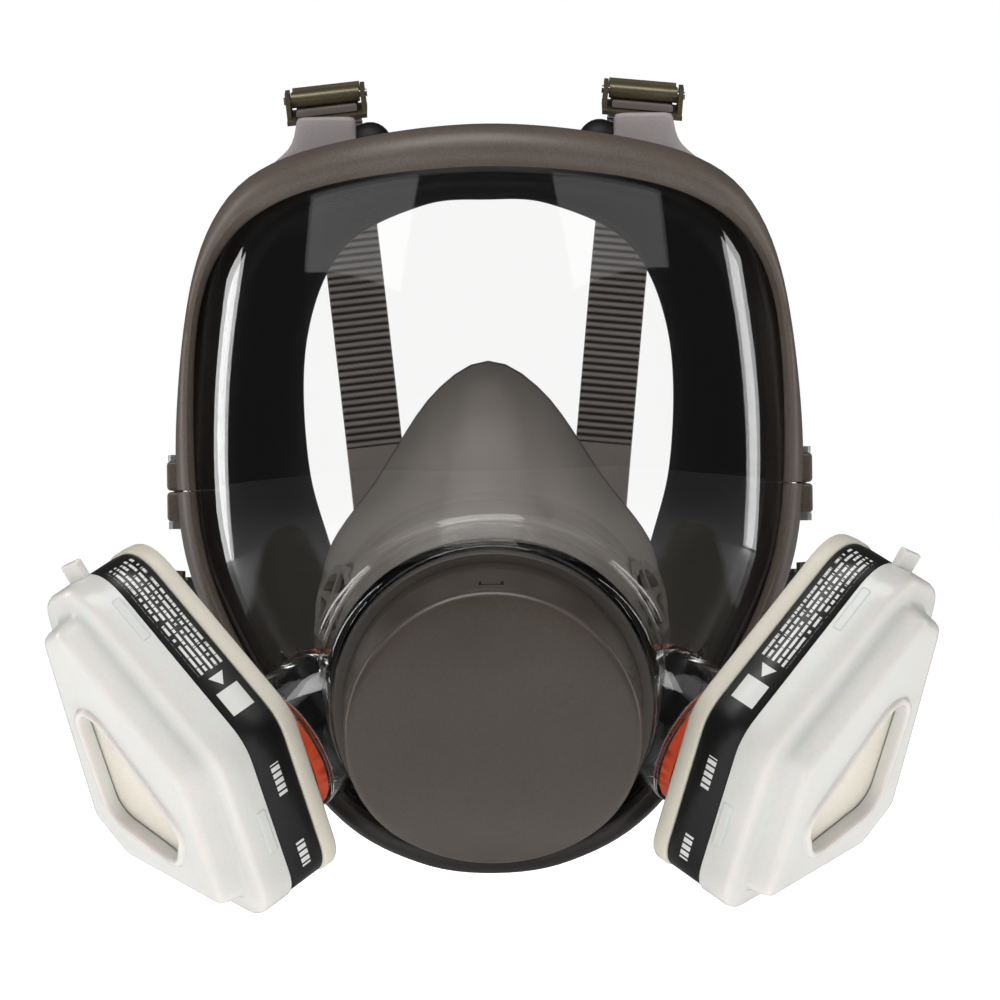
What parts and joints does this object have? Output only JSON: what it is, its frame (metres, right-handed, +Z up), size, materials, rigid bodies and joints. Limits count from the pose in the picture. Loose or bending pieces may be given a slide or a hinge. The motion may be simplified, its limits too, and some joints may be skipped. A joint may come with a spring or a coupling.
{
  "type": "full face respirator",
  "caption": "Full-facepiece respirator with a wide clear lens, nose cup, exhalation cover, bayonet gas cartridges and a ribbed strap harness.",
  "frame": {"origin": "centre of the opening in the face seal that the wearer's face goes into", "axes": "+Z up, -Y the way the wearer looks, +X to the right as seen from the front; the mask is symmetrical about X = 0"},
  "size_m": [0.26, 0.2051, 0.2527],
  "materials": {
    "lens_clear": "polished clear",
    "frame_plastic": "satin, finely textured",
    "steel": "plain",
    "seal_rubber": "satin",
    "cup_rubber": "satin",
    "adapter_plastic": "satin",
    "cover_plastic": "satin gloss",
    "valve_rubber": "satin",
    "tab_rubber": "satin",
    "seat_plastic": "satin",
    "gasket_rubber": "satin",
    "cartridge_plastic": "satin",
    "label_film": "printed film",
    "carbon": "granular",
    "retainer_plastic": "translucent",
    "filter_felt": "felt",
    "buckle_metal": "bronze lacquer",
    "strap_rubber": "ribbed"
  },
  "bodies": {
    "facepiece": {"lens": "lens_clear", "frame_upper": "frame_plastic", "frame_lower": "frame_plastic", "frame_screws": "steel", "frame_nuts": "steel", "face_seal": "seal_rubber", "nose_cup": "cup_rubber", "center_adapter": "adapter_plastic", "adapter_gasket": "seal_rubber", "buckle_pins": "steel", "crown_pad": "strap_rubber", "left_upper_strap_tab": "tab_rubber", "left_lower_strap_tab": "tab_rubber", "left_nose_cup_valve_seat": "seat_plastic", "left_port_gasket": "gasket_rubber", "left_upper_buckle_frame": "buckle_metal", "left_lower_buckle_frame": "buckle_metal", "left_upper_strap": "strap_rubber", "left_lower_strap": "strap_rubber", "right_upper_strap_tab": "tab_rubber", "right_lower_strap_tab": "tab_rubber", "right_nose_cup_valve_seat": "seat_plastic", "right_port_gasket": "gasket_rubber", "right_upper_buckle_frame": "buckle_metal", "right_lower_buckle_frame": "buckle_metal", "right_upper_strap": "strap_rubber", "right_lower_strap": "strap_rubber"},
    "exhaust_cover": {"exhalation_cover": "cover_plastic"},
    "exhaust_disc": {"exhalation_valve": "valve_rubber"},
    "left_cartridge": {"left_cartridge_shell": "cartridge_plastic", "left_label_band": "label_film", "left_carbon_bed": "carbon", "left_cartridge_grille": "cartridge_plastic"},
    "left_retainer": {"left_prefilter_retainer": "retainer_plastic", "left_prefilter": "filter_felt"},
    "left_inhale_disc": {"left_inhalation_valve": "valve_rubber"},
    "left_cup_disc": {"left_nose_cup_valve": "valve_rubber"},
    "left_upper_lever": {"left_upper_buckle_lever": "buckle_metal"},
    "left_lower_lever": {"left_lower_buckle_lever": "buckle_metal"},
    "right_cartridge": {"right_cartridge_shell": "cartridge_plastic", "right_label_band": "label_film", "right_carbon_bed": "carbon", "right_cartridge_grille": "cartridge_plastic"},
    "right_retainer": {"right_prefilter_retainer": "retainer_plastic", "right_prefilter": "filter_felt"},
    "right_inhale_disc": {"right_inhalation_valve": "valve_rubber"},
    "right_cup_disc": {"right_nose_cup_valve": "valve_rubber"},
    "right_upper_lever": {"right_upper_buckle_lever": "buckle_metal"},
    "right_lower_lever": {"right_lower_buckle_lever": "buckle_metal"}
  },
  "joints": [
    {"name": "cover_pull", "type": "slide", "parent": "facepiece", "child": "exhaust_cover", "axis": [0, -0.9816, -0.1908], "range_m": [0, 0.03]},
    {"name": "exhaust_disc_lift", "type": "slide", "parent": "facepiece", "child": "exhaust_disc", "axis": [0, -0.9816, -0.1908], "range_m": [0, 0.0015], "stiffness_N_per_m": 30, "springref_m": -0.002},
    {"name": "left_cartridge_twist", "type": "hinge", "parent": "facepiece", "child": "left_cartridge", "pos_m": [-0.0641, -0.0697, -0.0734], "axis": [-0.7181, -0.5001, -0.4841], "range_deg": [0, 60]},
    {"name": "left_retainer_pull", "type": "slide", "parent": "left_cartridge", "child": "left_retainer", "axis": [-0.7181, -0.5001, -0.4841], "range_m": [0, 0.022]},
    {"name": "left_inhale_disc_lift", "type": "slide", "parent": "facepiece", "child": "left_inhale_disc", "axis": [0.7181, 0.5001, 0.4841], "range_m": [0, 0.0015], "stiffness_N_per_m": 20, "springref_m": -0.0015},
    {"name": "left_cup_disc_lift", "type": "slide", "parent": "facepiece", "child": "left_cup_disc", "axis": [0.8521, 0.5013, -0.1504], "range_m": [0, 0.0015], "stiffness_N_per_m": 20, "springref_m": -0.0015},
    {"name": "left_upper_lever_turn", "type": "hinge", "parent": "facepiece", "child": "left_upper_lever", "pos_m": [-0.04952, -0.01199, 0.12627], "axis": [0.9951, 0, 0.0988], "range_deg": [0, 60]},
    {"name": "left_lower_lever_turn", "type": "hinge", "parent": "facepiece", "child": "left_lower_lever", "pos_m": [-0.10841, 0.02921, -0.034], "axis": [0, 0, 1], "range_deg": [0, 60]},
    {"name": "right_cartridge_twist", "type": "hinge", "parent": "facepiece", "child": "right_cartridge", "pos_m": [0.0641, -0.0697, -0.0734], "axis": [0.7181, -0.5001, -0.4841], "range_deg": [0, 60]},
    {"name": "right_retainer_pull", "type": "slide", "parent": "right_cartridge", "child": "right_retainer", "axis": [0.7181, -0.5001, -0.4841], "range_m": [0, 0.022]},
    {"name": "right_inhale_disc_lift", "type": "slide", "parent": "facepiece", "child": "right_inhale_disc", "axis": [-0.7181, 0.5001, 0.4841], "range_m": [0, 0.0015], "stiffness_N_per_m": 20, "springref_m": -0.0015},
    {"name": "right_cup_disc_lift", "type": "slide", "parent": "facepiece", "child": "right_cup_disc", "axis": [-0.8521, 0.5013, -0.1504], "range_m": [0, 0.0015], "stiffness_N_per_m": 20, "springref_m": -0.0015},
    {"name": "right_upper_lever_turn", "type": "hinge", "parent": "facepiece", "child": "right_upper_lever", "pos_m": [0.04952, -0.01199, 0.12627], "axis": [0.9951, 0, -0.0988], "range_deg": [0, 60]},
    {"name": "right_lower_lever_turn", "type": "hinge", "parent": "facepiece", "child": "right_lower_lever", "pos_m": [0.10841, 0.02921, -0.034], "axis": [0, 0, -1], "range_deg": [0, 60]}
  ]
}
